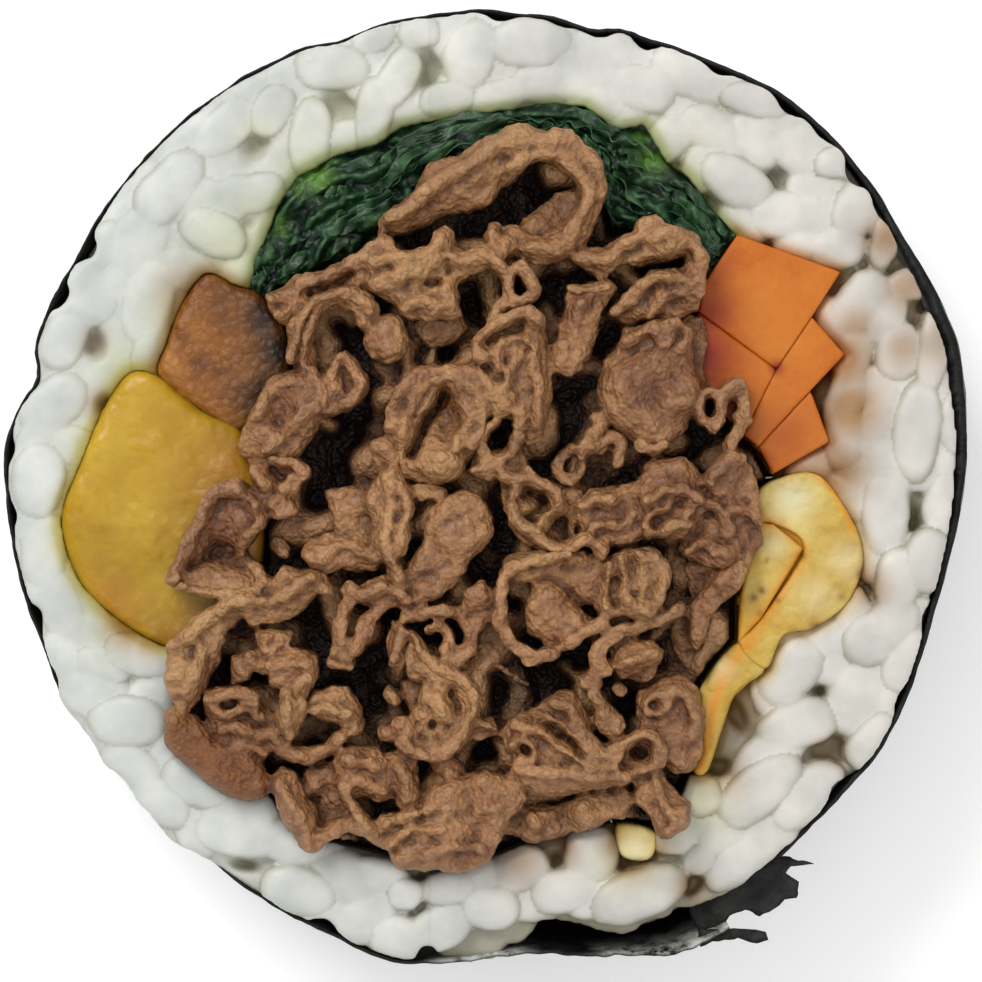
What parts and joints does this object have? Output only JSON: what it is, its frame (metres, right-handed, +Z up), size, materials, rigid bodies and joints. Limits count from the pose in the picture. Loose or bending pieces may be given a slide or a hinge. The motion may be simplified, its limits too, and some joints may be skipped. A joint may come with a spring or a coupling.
{
  "type": "kimbap slice",
  "caption": "Round slice of rice roll wrapped in seaweed, lying on its cut face, with thin-sliced beef heaped over vegetable and egg fillings; a bite of finger food.",
  "frame": {"origin": "middle of the slice's lower cut face, on the flat underside of the beef core", "axes": "+Z up through the slice, from the lower cut face to the shown one; +Y towards the spinach; +X towards the carrot and egg"},
  "size_m": [0.064, 0.0631, 0.0244],
  "materials": {
    "nori": "satin, toasted seaweed softened by the rice",
    "rice": "moist, faintly translucent steamed rice",
    "pickled_radish": "wet, translucent pickle",
    "braised_burdock": "soy-braised, sticky sheen",
    "spinach": "wet blanched leaves",
    "carrot": "satin, lightly cooked",
    "egg": "soft satin omelette",
    "beef": "glazed, moist sliced meat"
  },
  "bodies": {
    "root": {"nori": "nori", "rice": "rice", "pickled_radish": "pickled_radish", "braised_burdock": "braised_burdock", "spinach": "spinach", "carrot_upper": "carrot", "carrot_left": "carrot", "carrot_right": "carrot", "carrot_lower": "carrot", "egg_outer": "egg", "egg_inner": "egg", "egg_lower": "egg", "egg_scrap": "egg", "beef": "beef"}
  },
  "joints": []
}
